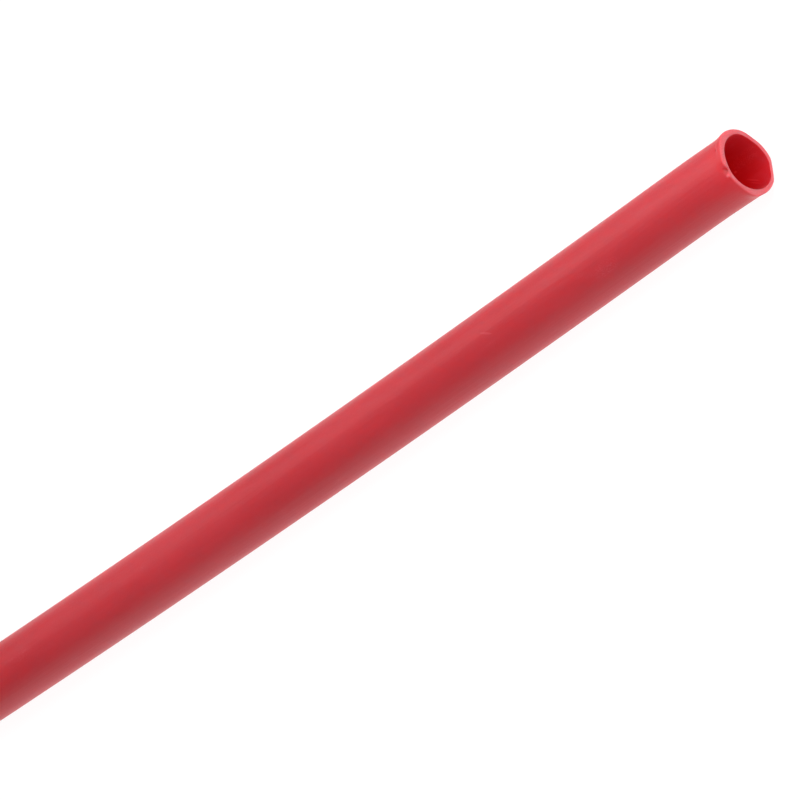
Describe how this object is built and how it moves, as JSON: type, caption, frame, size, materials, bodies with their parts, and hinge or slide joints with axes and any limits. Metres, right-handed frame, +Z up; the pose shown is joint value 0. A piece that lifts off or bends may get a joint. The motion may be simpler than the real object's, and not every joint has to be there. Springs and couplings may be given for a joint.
{
  "type": "heat shrink tube",
  "caption": "Open-ended thin-walled red plastic sleeve that slides over a wire joint and shrinks tight onto it when heated.",
  "frame": {"origin": "bottom centre of the tube's box, on the surface it lies on", "axes": "+X along the tube towards the end that the picture shows, +Z up, and the middle of the tube bows slightly towards -Y"},
  "size_m": [0.1526, 0.0086, 0.0074],
  "materials": {
    "red_polyolefin": "soft matte red with faint lengthwise drawing lines, paler where it is cut"
  },
  "bodies": {
    "root": {"heat_shrink_tube": "red_polyolefin"}
  },
  "joints": []
}
